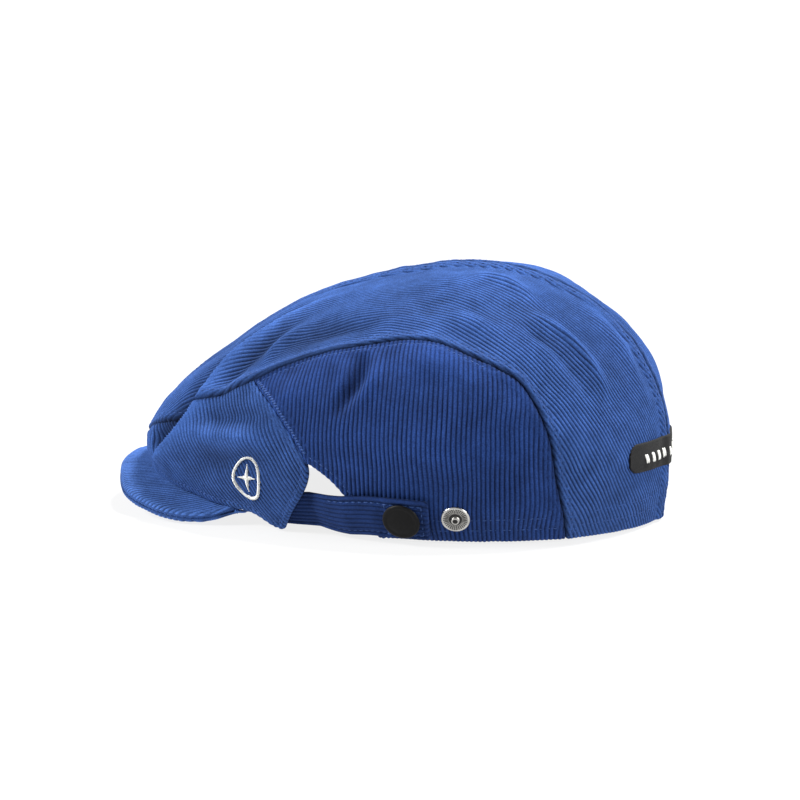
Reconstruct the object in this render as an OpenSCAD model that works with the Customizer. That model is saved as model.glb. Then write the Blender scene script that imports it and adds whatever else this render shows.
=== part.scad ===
// Newsboy cap: a six-piece corduroy crown on a short arched peak, with a notch and a snap strap each side.
// Millimetres. +Z up, the peak points to -X, the wearer's left is -Y.
// The origin is the centre of the head opening, on the plane the cap rests on.

/* [Crown] */
// height of the crown above the resting plane
crown_h = 119.5; // [100:0.5:135]
// how far the crown's highest point lies behind the opening's centre
pole_x = 5; // [0:1:15]
// opening's outer half width, side to side
rim_half_w = 86; // [78:0.5:94]
// opening's reach behind the pole
rim_back = 98; // [88:0.5:108]
// opening's reach in front of the pole
rim_front = 158; // [140:1:165]
// crown's half width at its fullest
bulge_half_w = 100; // [90:0.5:108]
// crown's reach behind the pole at its fullest
bulge_back = 100; // [92:0.5:108]
// crown's reach in front of the pole at its fullest
bulge_front = 162; // [148:1:170]
// height of the fullest line at the sides
bulge_z_side = 42; // [34:1:50]
// height of the fullest line at the back and the front
bulge_z_ends = 30; // [24:1:36]
// thickness of the corduroy with its backing
cloth_t = 2.0; // [1.4:0.1:2.6]

/* [Inside] */
// gap between one layer and the next
layer_gap = 0.3; // [0.2:0.05:0.6]
// thickness of the lining
lining_t = 0.6; // [0.4:0.1:1]
// thickness of the sweatband
band_t = 1.5; // [1:0.1:2]
// share of the way from the hem to the crown's top that the sweatband covers
band_top = 0.19; // [0.12:0.01:0.2]

/* [Peak] */
// rise of the peak's middle over its corners
arch_rise = 15.5; // [10:0.5:22]
// half width over which the peak arches down to the resting plane
arch_half_w = 81; // [75:1:88]
// full thickness of the peak
peak_t = 4; // [3:0.1:6]
// thickness of each cover of the peak
peak_cover_t = 1.2; // [0.9:0.1:1.6]
// distance from the peak's outer edge to the stiff board
board_inset = 0.2; // [0.1:0.05:0.3]

/* [Strap] */
// angle round the crown, from the back, of the strap's free end
strap_end = 82.5; // [80:0.5:86]
// angle round the crown of the strap's hinge line
strap_hinge = 114; // [112:0.5:115]
// angle round the crown of the hidden end of the strap's tail
tail_end = 131; // [124:1:132]
// strap's lower edge, as a share of the way up the crown
strap_low = 0.022; // [0.015:0.001:0.03]
// strap's upper edge, as a share of the way up the crown
strap_high = 0.122; // [0.11:0.001:0.125]
// strap's thickness
strap_t = 2.0; // [1.5:0.1:2.4]

/* [Snaps] */
// angle round the crown of the fastened snap
snap_at = 90; // [88:0.5:92]
// angle round the crown of the spare stud
spare_at = 75.5; // [74:0.5:77]
// height of the snaps, as a share of the way up the crown
snap_up = 0.072; // [0.065:0.001:0.08]
// snap cap's radius
cap_r = 9; // [8:0.1:10]
// stud's radius
stud_r = 6.7; // [5.5:0.1:7]
// stud post's radius
post_r = 1.9; // [1.5:0.1:2.2]
// socket's bore radius
socket_bore_r = 2.4; // [2.3:0.1:2.8]

/* [Trim] */
// back label's half angle round the crown
label_half = 23; // [15:1:24]
// badge's width on the front panel
badge_w = 17; // [14:0.5:20]
// badge's height
badge_h = 22; // [18:0.5:24]

/* [Hidden] */
$fn = 48;
vb = 0.22;                       // where the crown's fullest line lies, between hem 0 and top 1
lining_d = cloth_t + layer_gap;  // depth of the lining's outer face
tail_d = cloth_t + layer_gap + strap_t;
eps_t = 0.5;

// ---- the crown's surface: t degrees from the back round to the right, v 0 at the hem to 1 at the top

function lerp(a, b, w) = a + (b - a) * w;
function smooth(x) = let (y = max(0, min(1, x))) y * y * (3 - 2 * y);
function half_oval(c, s, ab, af, b, nf) =
    let (a = c > 0 ? ab : af, n = c > 0 ? 2 : nf)
    pow(pow(abs(c / a), n) + pow(abs(s / b), n), -1 / n);

// lower face of the peak at a given distance from the middle
function arch_z(y) = arch_rise * (1 - pow(y / arch_half_w, 2));

function crown(t, v) =
    let (c = cos(t), s = sin(t),
         bulge = half_oval(c, s, bulge_back, bulge_front, bulge_half_w, 2.15),
         rim = half_oval(c, s, rim_back, rim_front, rim_half_w, 2.4),
         front = smooth((-c - 0.25) / 0.75), back = max(0, c),
         z0 = smooth((-c - 0.62) / 0.12) * max(arch_z(0.96 * rim * s) + peak_t + 0.25, 0),
         zb = lerp(lerp(bulge_z_side, bulge_z_ends, back), bulge_z_ends, front),
         p = lerp(lerp(1.9, 2.1, back), 1.58, front),
         q = lerp(lerp(2.0, 2.4, back), 1.49, front),
         k = max(0, min(1, v / vb)),
         a = max(0, min(1, (v - vb) / (1 - vb))) * 90,
         r = v < vb ? bulge - (bulge - rim) * pow(1 - k, 2) : bulge * pow(cos(a), 2 / p),
         z = v < vb ? z0 + (zb - z0) * k : zb + (crown_h - zb) * pow(sin(a), 2 / q))
    [pole_x + r * c, r * s, z];

function unit(u) = u / norm(u);
function outward(t, v) =
    let (w = min(v, 0.95))
    unit(cross(crown(t + eps_t, w) - crown(t - eps_t, w), crown(t, w + 0.02) - crown(t, w)));
// a point at a depth under the crown's outer face; the hem's lower edge stays level
function under(t, v, d) =
    let (n = outward(t, v)) crown(t, v) - d * unit([n[0], n[1], n[2] * smooth(v / 0.05)]);

// ---- flat map of the crown: distance from the centre 1 at the hem, 0 at the top

function flat(p) = (1 - p[1]) * [cos(p[0]), sin(p[0])];
function lift(f, d) = under(atan2(f[1], f[0]), 1 - norm(f), d);

// smooth path through points, u from 0 to 1
function path(pts, u) =
    let (n = len(pts) - 1, x = u * n, i = min(n - 1, floor(x)), w = x - i,
         p0 = pts[max(0, i - 1)], p1 = pts[i], p2 = pts[i + 1], p3 = pts[min(n, i + 2)])
    0.5 * (2 * p1 + (p2 - p0) * w + (2 * p0 - 5 * p1 + 4 * p2 - p3) * w * w
           + (3 * p1 - p0 - 3 * p2 + p3) * w * w * w);

// seams and free edges of the right half, as [angle from the back, way up]
rear_seam = [[42, 0], [47, 0.15], [50.5, 0.30], [56, 0.43], [64, 0.49]];
top_seam = [[64, 0.49], [79, 0.553], [95, 0.57], [111, 0.547], [128, 0.525], [139, 0.47]];
brow_seam = [[139, 0.47], [149, 0.425], [161, 0.34]];
nose_seam = [[161, 0.34], [171, 0.27], [180, 0.24]];
// the side panel's free corner, up round the notch and along the seam to the front panel
notch_edge = [[100, 0], [104.5, 0.07], [110, 0.145], [116.3, 0.195]];
front_seam = [[116.3, 0.195], [118.5, 0.24], [122, 0.30], [129, 0.39], [139, 0.47]];
// the front panel's free edge down to its tip
free_edge = [[128, 0], [124, 0.05], [118.5, 0.115], [116.3, 0.16], [116.3, 0.195]];

function two(a, b, u) = u < 0.5 ? path(a, 2 * u) : path(b, 2 * u - 1);

// surface patch between four edges of the flat map
function coons(x, y, bottom, top, left, right, c00, c10, c01, c11) =
    lerp(bottom, top, y) + lerp(left, right, x)
    - lerp(lerp(c00, c10, x), lerp(c01, c11, x), y);

function top_patch(x, y) =
    let (rim = [42 * (1 - x), 0])
    coons(x, y, flat(rim), flat(path(nose_seam, x)),
          y < 1 ? flat(path(concat(rear_seam, [for (i = [1:5]) top_seam[i]],
                                   [for (i = [1:2]) brow_seam[i]]), y)) : flat(nose_seam[0]),
          [lerp(1, -0.76, y), 0],
          flat([42, 0]), flat([0, 0]), flat(nose_seam[0]), flat([180, 0.24]));

function side_patch(x, y) =
    coons(x, y, flat([lerp(42, 100, x), 0]), flat(path(top_seam, x)),
          flat(path(rear_seam, y)), flat(two(notch_edge, front_seam, y)),
          flat([42, 0]), flat([100, 0]), flat([64, 0.49]), flat([139, 0.47]));

function front_patch(x, y) =
    coons(x, y, flat([lerp(180, 128, x), 0]),
          flat(x < 0.5 ? path([nose_seam[2], nose_seam[1], nose_seam[0]], 2 * x)
                       : path([brow_seam[2], brow_seam[1], brow_seam[0]], 2 * x - 1)),
          flat([180, 0.24 * y]), flat(two(free_edge, front_seam, y)),
          flat([180, 0]), flat([128, 0]), flat([180, 0.24]), flat([139, 0.47]));

// ---- closed sheet between two grids of points

module slab(a, b, flip = false) {
    m = len(a);
    n = len(a[0]);
    pts = concat([for (r = a) each r], [for (r = b) each r]);
    o = m * n;
    quads = concat(
        [for (i = [0:m - 2], j = [0:n - 2]) [i * n + j, (i + 1) * n + j, (i + 1) * n + j + 1, i * n + j + 1]],
        [for (i = [0:m - 2], j = [0:n - 2])
            [o + i * n + j + 1, o + (i + 1) * n + j + 1, o + (i + 1) * n + j, o + i * n + j]],
        [for (j = [0:n - 2]) [j, j + 1, o + j + 1, o + j]],
        [for (j = [0:n - 2]) let (e = (m - 1) * n) [e + j + 1, e + j, o + e + j, o + e + j + 1]],
        [for (i = [0:m - 2]) [(i + 1) * n, i * n, o + i * n, o + (i + 1) * n]],
        [for (i = [0:m - 2]) let (e = n - 1) [i * n + e, (i + 1) * n + e, o + (i + 1) * n + e, o + i * n + e]]);
    faces = [for (q = quads) each [[q[0], q[1], q[2]], [q[0], q[2], q[3]]]];
    polyhedron(pts, flip ? [for (f = faces) [f[2], f[1], f[0]]] : faces);
}

function steps(n) = [for (i = [0:n]) i / n];

// panels stop a little short of the seam line they share
module top_panel() {
    xs = [for (i = [0:14]) lerp(0.005, 1, i / 14)];
    ys = steps(26);
    slab([for (x = xs) [for (y = ys) lift(top_patch(x, y), 0)]],
         [for (x = xs) [for (y = ys) lift(top_patch(x, y), cloth_t)]]);
}

module side_panel() {
    xs = [for (i = [0:20]) lerp(0.003, 0.996, i / 20)];
    ys = [for (j = [0:16]) lerp(0, 0.995, j / 16)];
    slab([for (x = xs) [for (y = ys) lift(side_patch(x, y), 0)]],
         [for (x = xs) [for (y = ys) lift(side_patch(x, y), cloth_t)]], true);
}

module front_shell() {
    xs = [for (i = [-18:18]) 0.997 * i / 18];
    ys = [for (j = [0:14]) lerp(0, 0.995, j / 14)];
    slab([for (x = xs) [for (y = ys) let (p = lift(front_patch(abs(x), y), 0)) [p[0], sign(x) * abs(p[1]), p[2]]]],
         [for (x = xs) [for (y = ys) let (p = lift(front_patch(abs(x), y), cloth_t))
             [p[0], sign(x) * abs(p[1]), p[2]]]]);
}

// sheet over a range of angles and heights, at a depth under the crown
module band(t0, t1, v0, v1, d0, d1, nt, nv) {
    slab([for (i = [0:nt]) [for (j = [0:nv]) under(lerp(t0, t1, i / nt), lerp(v0, v1, j / nv), d0)]],
         [for (i = [0:nt]) [for (j = [0:nv]) under(lerp(t0, t1, i / nt), lerp(v0, v1, j / nv), d1)]], true);
}

module dome_lining() {
    nt = 40;
    vs = [0.21, 0.28, 0.36, 0.45, 0.54, 0.63, 0.72, 0.81, 0.89, 0.95];
    nv = len(vs);
    ring = function (d) [for (v = vs, i = [0:nt - 1]) under(i * 360 / nt, v, d)];
    top = function (d) [pole_x, 0, crown_h - d];
    pts = concat(ring(lining_d), [top(lining_d)], ring(lining_d + lining_t), [top(lining_d + lining_t)]);
    o = nt * nv + 1;
    id = function (k, i) k * nt + i % nt;
    quads = concat(
        [for (k = [0:nv - 2], i = [0:nt - 1]) [id(k, i), id(k + 1, i), id(k + 1, i + 1), id(k, i + 1)]],
        [for (k = [0:nv - 2], i = [0:nt - 1])
            [o + id(k, i + 1), o + id(k + 1, i + 1), o + id(k + 1, i), o + id(k, i)]],
        [for (i = [0:nt - 1]) [id(0, i), id(0, i + 1), o + id(0, i + 1), o + id(0, i)]]);
    caps = concat([for (i = [0:nt - 1]) [id(nv - 1, i), o - 1, id(nv - 1, i + 1)]],
                  [for (i = [0:nt - 1]) [o + id(nv - 1, i + 1), 2 * o - 1, o + id(nv - 1, i)]]);
    polyhedron(pts, concat([for (q = quads) each [[q[0], q[1], q[2]], [q[0], q[2], q[3]]]], caps));
}

// ---- peak

peak_edge = [[-169, 0], [-165, 28], [-151, 59], [-132, 74], [-113, 80.5], [-97, 79], [-86, 74.5]];

function peak_plan(u, w) =
    let (t = lerp(180, 139, abs(u)), r = half_oval(cos(t), sin(t), rim_back, rim_front, rim_half_w, 2.4) - 5,
         inner = [pole_x + r * cos(t), r * sin(t)], outer = path(peak_edge, abs(u)),
         p = lerp(inner, outer, w))
    [p[0], u < 0 ? -p[1] : p[1]];
function peak_point(u, w, h) = let (p = peak_plan(u, w)) [p[0], p[1], max(arch_z(p[1]), 0) + h];

module peak_sheet(low, high, ws, lows) {
    us = [for (i = [-16:16]) i / 16];
    slab([for (u = us) [for (w = ws) peak_point(u, w, high)]],
         [for (u = us) [for (k = [0:len(ws) - 1]) peak_point(u, ws[k], lows[k])]]);
}

module peak_top() {
    under_z = peak_t - peak_cover_t;
    lip = 1 - board_inset + 0.03;
    peak_sheet(0, peak_t, [0, 0.25, 0.5, lip - 0.02, lip, 1],
               [under_z, under_z, under_z, under_z, peak_cover_t + 0.1, peak_cover_t + 0.1]);
}
module peak_stiffener() {
    ws = [0, 0.25, 0.5, 1 - board_inset];
    low = peak_cover_t + 0.1;
    peak_sheet(low, peak_t - peak_cover_t - 0.1, ws, [low, low, low, low]);
}
module peak_bottom() {
    peak_sheet(0, peak_cover_t, [0, 0.25, 0.5, 0.75, 1], [0, 0, 0, 0, 0]);
}

// ---- strap and snaps, right-hand side

// how far the strap's inner face stands off the crown's outer face, by angle
strap_rise = [[131, -4.3], [118, -4.3], [114, -2.2], [108, 0.6], [98, 2.8], [90, 3.2], [82.5, 2.7]];
function rise(t, i = 0) =
    t >= strap_rise[i + 1][0] || i == len(strap_rise) - 2
    ? let (a = strap_rise[i], b = strap_rise[i + 1]) lerp(a[1], b[1], (a[0] - t) / (a[0] - b[0]))
    : rise(t, i + 1);

module strap_run(t0, t1, n) {
    vs = [strap_low, lerp(strap_low, strap_high, 0.35), lerp(strap_low, strap_high, 0.7), strap_high];
    ts = [for (i = [0:n]) lerp(t0, t1, i / n)];
    slab([for (t = ts) [for (v = vs) crown(t, v) + (rise(t) + strap_t) * outward(t, v)]],
         [for (t = ts) [for (v = vs) crown(t, v) + rise(t) * outward(t, v)]]);
}

// children stand on the crown with +Z along its outward normal
module stand(t, v, off) {
    n = outward(t, v);
    translate(crown(t, v) + off * n) rotate([0, acos(n[2]), atan2(n[1], n[0])]) children();
}

socket_t = 2.1;
stud_plate_t = 0.7;
seat = 3.2;                       // strap's inner face over the band at the snap

module snap_cap() stand(snap_at, snap_up, seat + strap_t + 0.05) {
    rotate_extrude($fn = 64)
        polygon([[0, 0], [cap_r - 0.5, 0], [cap_r, 0.5], [cap_r - 0.3, 1.1], [cap_r - 2, 1.6], [3, 1.9], [0, 1.9]]);
    translate([0, 0, -strap_t - 0.05]) cylinder(r = 1.2, h = strap_t + 0.1);
}
module snap_socket() stand(snap_at, snap_up, seat - socket_t - 0.05) difference() {
    union() {
        cylinder(r = stud_r - 0.5, h = 1.2);
        cylinder(r = 4.6, h = socket_t);
    }
    translate([0, 0, -1]) cylinder(r = socket_bore_r, h = 1 + socket_t - 0.4);
}
module stud() {
    rotate_extrude($fn = 64)
        polygon([[0, 0], [stud_r - 0.2, 0], [stud_r, 0.4], [stud_r - 0.7, stud_plate_t], [post_r + 0.2, stud_plate_t],
                 [post_r - 0.2, stud_plate_t + 0.5], [post_r, 2.0], [post_r - 0.5, 2.35], [0, 2.35]]);
}
module studs() for (t = [snap_at, spare_at]) stand(t, snap_up, 0.05) stud();
module backings() for (t = [snap_at, spare_at]) stand(t, snap_up, -cloth_t - layer_gap - band_t - 0.9) {
    cylinder(r = 5, h = 0.8);
    cylinder(r = 0.9, h = cloth_t + layer_gap + band_t + 0.9);
}

// ---- trim

module label() {
    nt = 24;
    ts = [for (i = [-nt:nt]) sin(90 * i / nt) * label_half];
    half = function (t) let (x = max(0, abs(t) - label_half + 4) / 4) 0.031 * sqrt(max(0.04, 1 - x * x));
    mid = 0.229;
    grid = function (d) [for (t = ts) [for (k = [-2:2]) under(t, mid + half(t) * k / 2, d)]];
    slab(grid(-0.9), grid(-0.1), true);
}

module badge() stand(133, 0.148, -0.25) rotate([0, 0, 90]) linear_extrude(0.9) {
    difference() {
        scale([badge_w / badge_h, 1]) circle(d = badge_h);
        scale([(badge_w - 3) / (badge_h - 3), 1]) circle(d = badge_h - 3);
    }
    polygon([for (i = [0:7]) (i % 2 == 0 ? 5.5 : 1.6) * [cos(45 * i), 1.25 * sin(45 * i)]]);
}

module left() mirror([0, 1, 0]) children();

module top_panel_left() color("#2f4f94") left() top_panel();
module top_panel_right() color("#35579e") top_panel();
module side_panel_left() color("#26407c") left() side_panel();
module side_panel_right() color("#2b4788") side_panel();
module front_panel() color("#3a60aa") front_shell();
module crown_lining() color("#303236") dome_lining();
module sweatband_front() color("#1c1d20")
    band(134, 226, 0.02, band_top, lining_d, lining_d + band_t, 30, 5);
module sweatband_rear() color("#222327")
    band(-97, 97, 0.012, band_top, lining_d, lining_d + band_t, 40, 5);
module peak_top_cover() color("#3f66b2") peak_top();
module peak_board() color("#d8d4c8") peak_stiffener();
module peak_bottom_cover() color("#2d4c90") peak_bottom();
module back_label() color("#101114") label();
module front_badge() color("#e9e9e4") left() badge();
module strap_left() color("#223a72") left() strap_run(strap_hinge, strap_end, 14);
module strap_right() color("#223a72") strap_run(strap_hinge, strap_end, 14);
module strap_tail_left() color("#1d3263") left() strap_run(tail_end, strap_hinge + 0.3, 8);
module strap_tail_right() color("#1d3263") strap_run(tail_end, strap_hinge + 0.3, 8);
module snap_cap_left() color("#16181a") left() snap_cap();
module snap_cap_right() color("#16181a") snap_cap();
module snap_socket_left() color("#8a8a88") left() snap_socket();
module snap_socket_right() color("#8a8a88") snap_socket();
module band_studs_left() color("#a8a6a2") left() studs();
module band_studs_right() color("#a8a6a2") studs();
module stud_backings_left() color("#77767a") left() backings();
module stud_backings_right() color("#77767a") backings();

top_panel_left();
top_panel_right();
side_panel_left();
side_panel_right();
front_panel();
crown_lining();
sweatband_front();
sweatband_rear();
peak_top_cover();
peak_board();
peak_bottom_cover();
back_label();
front_badge();
strap_left();
strap_right();
strap_tail_left();
strap_tail_right();
snap_cap_left();
snap_cap_right();
snap_socket_left();
snap_socket_right();
band_studs_left();
band_studs_right();
stud_backings_left();
stud_backings_right();
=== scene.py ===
"""Newsboy cap in blue corduroy. Shapes are worked out in millimetres and made into meshes in metres."""
import math

import bpy
import numpy as np
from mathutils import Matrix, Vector
from mathutils.bvhtree import BVHTree
from mathutils.geometry import delaunay_2d_cdt


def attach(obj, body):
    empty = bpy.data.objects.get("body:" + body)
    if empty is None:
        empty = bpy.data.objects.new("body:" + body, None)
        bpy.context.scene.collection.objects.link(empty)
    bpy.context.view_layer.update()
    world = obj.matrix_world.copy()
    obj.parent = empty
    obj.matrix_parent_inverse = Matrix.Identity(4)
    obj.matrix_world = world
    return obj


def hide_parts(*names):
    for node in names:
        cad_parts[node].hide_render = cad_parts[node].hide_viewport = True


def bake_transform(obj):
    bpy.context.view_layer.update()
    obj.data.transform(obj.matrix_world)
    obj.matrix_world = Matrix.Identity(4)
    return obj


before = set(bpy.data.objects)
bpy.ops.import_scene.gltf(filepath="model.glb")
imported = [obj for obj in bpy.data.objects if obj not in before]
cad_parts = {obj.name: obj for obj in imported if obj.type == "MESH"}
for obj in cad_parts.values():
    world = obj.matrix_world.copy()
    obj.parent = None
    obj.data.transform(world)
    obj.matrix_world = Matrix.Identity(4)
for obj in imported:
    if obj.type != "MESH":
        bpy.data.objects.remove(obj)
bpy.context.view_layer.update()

LEFT, RIGHT = -1, 1
SIDES = (("left", LEFT), ("right", RIGHT))

# ---- crown, as in the CAD model: t degrees from the back, v 0 at the hem to 1 at the top
CROWN_H, POLE_X = 119.5, 5.0
RIM_HALF_W, RIM_BACK, RIM_FRONT = 86.0, 98.0, 158.0
BULGE_HALF_W, BULGE_BACK, BULGE_FRONT = 100.0, 100.0, 162.0
BULGE_Z_SIDE, BULGE_Z_ENDS, FULLEST_V = 42.0, 30.0, 0.22
ARCH_RISE, ARCH_HALF_W, PEAK_T = 15.5, 81.0, 4.0
CLOTH_T, LAYER_GAP, LINING_T, BAND_T, BAND_TOP = 2.0, 0.3, 0.6, 1.5, 0.19

# seams and free edges of one half, as (angle from the back, way up)
REAR_SEAM = [(42, 0), (47, .15), (50.5, .30), (56, .43), (64, .49)]
TOP_SEAM = [(64, .49), (79, .553), (95, .57), (111, .547), (128, .525), (139, .47)]
BROW_SEAM = [(139, .47), (149, .425), (161, .34)]
NOSE_SEAM = [(161, .34), (171, .27), (180, .24)]
NOTCH_EDGE = [(100, 0), (104.5, .07), (110, .145), (116.3, .195)]
FRONT_SEAM = [(116.3, .195), (118.5, .24), (122, .30), (129, .39), (139, .47)]
FREE_EDGE = [(128, 0), (124, .05), (118.5, .115), (116.3, .16), (116.3, .195)]

# ---- corduroy
WALE_H = 0.50            # height of a wale
WALE_COLUMNS = (-.5, -.36, -.14, .14, .36)
WALE_STEP = 1.8          # spacing of mesh points along a wale
WALE_DRIFT = .8          # how far wales wander from straight


def lerp(a, b, w):
    return a + (b - a) * w


def smooth(x):
    x = np.clip(x, 0, 1)
    return x * x * (3 - 2 * x)


def rounding(x):
    """Quarter circle from 0 to 1, for eased edges."""
    return np.sqrt(np.clip(1 - (1 - np.clip(x, 0, 1)) ** 2, 0, 1))


def joined(rows):
    return [np.concatenate(parts) for parts in zip(*rows)]


def unit(a):
    return a / np.maximum(np.linalg.norm(a, axis=-1, keepdims=True), 1e-12)


def half_oval(c, s, back, front, half, front_power):
    reach, power = np.where(c > 0, back, front), np.where(c > 0, 2.0, front_power)
    return (np.abs(c / reach) ** power + np.abs(s / half) ** power) ** (-1 / power)


def arch_z(y):
    return ARCH_RISE * (1 - (y / ARCH_HALF_W) ** 2)


def crown(t, v):
    """Point of the crown's outer face."""
    t, v = np.broadcast_arrays(np.asarray(t, float), np.asarray(v, float))
    c, s = np.cos(np.radians(t)), np.sin(np.radians(t))
    bulge = half_oval(c, s, BULGE_BACK, BULGE_FRONT, BULGE_HALF_W, 2.15)
    rim = half_oval(c, s, RIM_BACK, RIM_FRONT, RIM_HALF_W, 2.4)
    front, back = smooth((-c - .25) / .75), np.maximum(0, c)
    z0 = smooth((-c - .62) / .12) * np.maximum(arch_z(.96 * rim * s) + PEAK_T + .25, 0)
    zb = lerp(lerp(BULGE_Z_SIDE, BULGE_Z_ENDS, back), BULGE_Z_ENDS, front)
    p, q = lerp(lerp(1.9, 2.1, back), 1.58, front), lerp(lerp(2.0, 2.4, back), 1.49, front)
    k, a = np.clip(v / FULLEST_V, 0, 1), np.clip((v - FULLEST_V) / (1 - FULLEST_V), 0, 1) * np.pi / 2
    low = v < FULLEST_V
    r = np.where(low, bulge - (bulge - rim) * (1 - k) ** 2, bulge * np.maximum(np.cos(a), 0) ** (2 / p))
    z = np.where(low, z0 + (zb - z0) * k, zb + (CROWN_H - zb) * np.sin(a) ** (2 / q))
    return np.stack([POLE_X + r * c, r * s, z], -1)


def outward(t, v):
    """Unit normal of the crown's outer face."""
    w = np.minimum(v, .95)
    return unit(np.cross(crown(t + .5, w) - crown(t - .5, w), crown(t, w + .02) - crown(t, w)))


def under(t, v, depth):
    """Point under the crown's outer face; near the hem the depth is taken level."""
    t, v, depth = np.broadcast_arrays(*(np.asarray(a, float) for a in (t, v, depth)))
    n = outward(t, v).copy()
    n[..., 2] *= smooth(v / .05)
    return crown(t, v) - depth[..., None] * unit(n)


def mirrored(points, side):
    """The right half's points, on the left if side is LEFT."""
    return points * np.array([1.0, side, 1.0])


# ---- flat map of the crown and the panels' patches on it
def flat(p):
    p = np.asarray(p, float)
    t = np.radians(p[..., 0])
    return np.stack([(1 - p[..., 1]) * np.cos(t), (1 - p[..., 1]) * np.sin(t)], -1)


def unflat(f):
    return np.degrees(np.arctan2(f[..., 1], f[..., 0])), 1 - np.hypot(f[..., 0], f[..., 1])


def path(points, u):
    """Smooth path through points."""
    p = np.array(points, float)
    x = np.clip(np.asarray(u, float), 0, 1) * (len(p) - 1)
    i = np.minimum(np.floor(x).astype(int), len(p) - 2)
    w = (x - i)[..., None]
    a, b, c, d = p[np.maximum(i - 1, 0)], p[i], p[i + 1], p[np.minimum(i + 2, len(p) - 1)]
    return .5 * (2 * b + (c - a) * w + (2 * a - 5 * b + 4 * c - d) * w ** 2
                 + (3 * b - a - 3 * c + d) * w ** 3)


def two_paths(a, b, u):
    return np.where((u < .5)[..., None], path(a, 2 * u), path(b, 2 * u - 1))


def coons(x, y, bottom, top, left, right, corners):
    x, y = x[..., None], y[..., None]
    c00, c10, c01, c11 = (flat(c) for c in corners)
    return (lerp(bottom, top, y) + lerp(left, right, x)
            - lerp(lerp(c00, c10, x), lerp(c01, c11, x), y))


def top_patch(x, y):
    zero = 0 * x
    return coons(x, y, flat(np.stack([42 * (1 - x), zero], -1)), flat(path(NOSE_SEAM, x)),
                 flat(path(REAR_SEAM + TOP_SEAM[1:] + BROW_SEAM[1:], y)),
                 np.stack([1 - 1.76 * y, zero], -1), [(42, 0), (0, 0), (161, .34), (180, .24)])


def side_patch(x, y):
    zero = 0 * x
    return coons(x, y, flat(np.stack([42 + 58 * x, zero], -1)), flat(path(TOP_SEAM, x)),
                 flat(path(REAR_SEAM, y)), flat(two_paths(NOTCH_EDGE, FRONT_SEAM, y)),
                 [(42, 0), (100, 0), (64, .49), (139, .47)])


def front_patch(x, y):
    x, zero = np.abs(x), 0 * x
    return coons(x, y, flat(np.stack([180 - 52 * x, zero], -1)),
                 flat(two_paths(NOSE_SEAM[::-1], BROW_SEAM[::-1], x)),
                 flat(np.stack([zero + 180, .24 * y], -1)), flat(two_paths(FREE_EDGE, FRONT_SEAM, y)),
                 [(180, 0), (128, 0), (180, .24), (139, .47)])


def on_crown(patch, x, y, side):
    """Point and normal of a patch. The front patch spans both halves, with x below 0 on the other one."""
    t, v = unflat(patch(x, y))
    p, n = crown(t, v), outward(t, v)
    flip = np.sign(x) if patch is front_patch else 1.0
    for a in (p, n):
        a[..., 1] *= side * flip
    return p, n


# ---- seeded noise
def lattice(seed, size=24):
    return np.random.default_rng(seed).uniform(-1, 1, (size, size, size))


TABLES = [lattice(s) for s in range(6)]


def noise(p, scale, seed=0):
    """Smooth noise from -1 to 1 at points in space."""
    table = TABLES[seed % len(TABLES)]
    q = np.asarray(p, float) / scale + 37.3 + 5.1 * seed
    i = np.floor(q).astype(int)
    f = q - i
    f = f * f * (3 - 2 * f)
    total = 0
    for corner in np.ndindex(2, 2, 2):
        x, y, z = np.moveaxis((i + corner) % len(table), -1, 0)
        total = total + np.prod(np.where(corner, f, 1 - f), -1) * table[x, y, z]
    return total


# ---- soft folds of the worn cloth, as lines of (angle from the back, way up) on the left half
BROW_SHADE, SHADE_R = (141, .56), 24      # middle and radius of the painted shade over the brow
FRONT_RIDGE = [(160, .12), (152, .35), (154, .5), (158, .63), (163, .75)]
# (line, height, width on its right, width on its left)
SOFT_FOLDS = (
    ([(155, .42), (143, .47), (125, .55)], 1.6, 3, 5),         # roll over the brow seam
    ([(139, .50), (143, .57), (143, .67)], 2.0, 3.5, 5),       # near edge of the brow's hollow
    ([(143, .57), (125, .62), (103, .63)], -2.6, 7, 7),        # hollow over the top seam
    ([(152, .30), (138, .30), (124, .25)], 2.6, 5, 5),         # swell across the front panel
    ([(150, .37), (136, .37), (124, .34)], -1.8, 4, 4),        # hollow above the swell
    ([(155, .20), (138, .20), (122, .19)], -1.6, 6, 6),        # hollow below it
    ([(108, .53), (105, .44), (110, .32)], -3.4, 6, 4),        # dent in the side panel
    ([(104, .54), (101, .44), (105, .32)], 1.9, 6, 4),         # and the cloth pushed up behind it
    ([(112, .52), (110, .43), (114, .32)], 1.5, 5, 5),         # and in front of it
    ([(100, .51), (80, .50), (64, .42)], 1.6, 9, 9),           # swell under the top seam
    ([(114, .27), (82, .25), (52, .24)], 1.5, 10, 10),         # swell along the side
    ([(60, .90), (42, .79), (36, .68)], 2.4, 4, 5),            # upper crease towards the back
    ([(80, .69), (68, .635), (56, .59)], 2.2, 7, 5),           # lower crease towards the back
    ([(52, .65), (42, .54), (33, .34)], -1.9, 3.5, 6),         # rear hollow
    ([(43, .68), (34, .56), (27, .38)], 2.3, 2.6, 3.2),        # rear crease
    ([(12, .72), (11, .50), (10, .33)], 1.9, 6, 6))            # roll beside the centre back seam


def fold_line(points):
    """Places along a fold on the left half."""
    line = path(points, np.linspace(0, 1, 31))
    return mirrored(crown(line[:, 0], line[:, 1]), LEFT)


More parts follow.
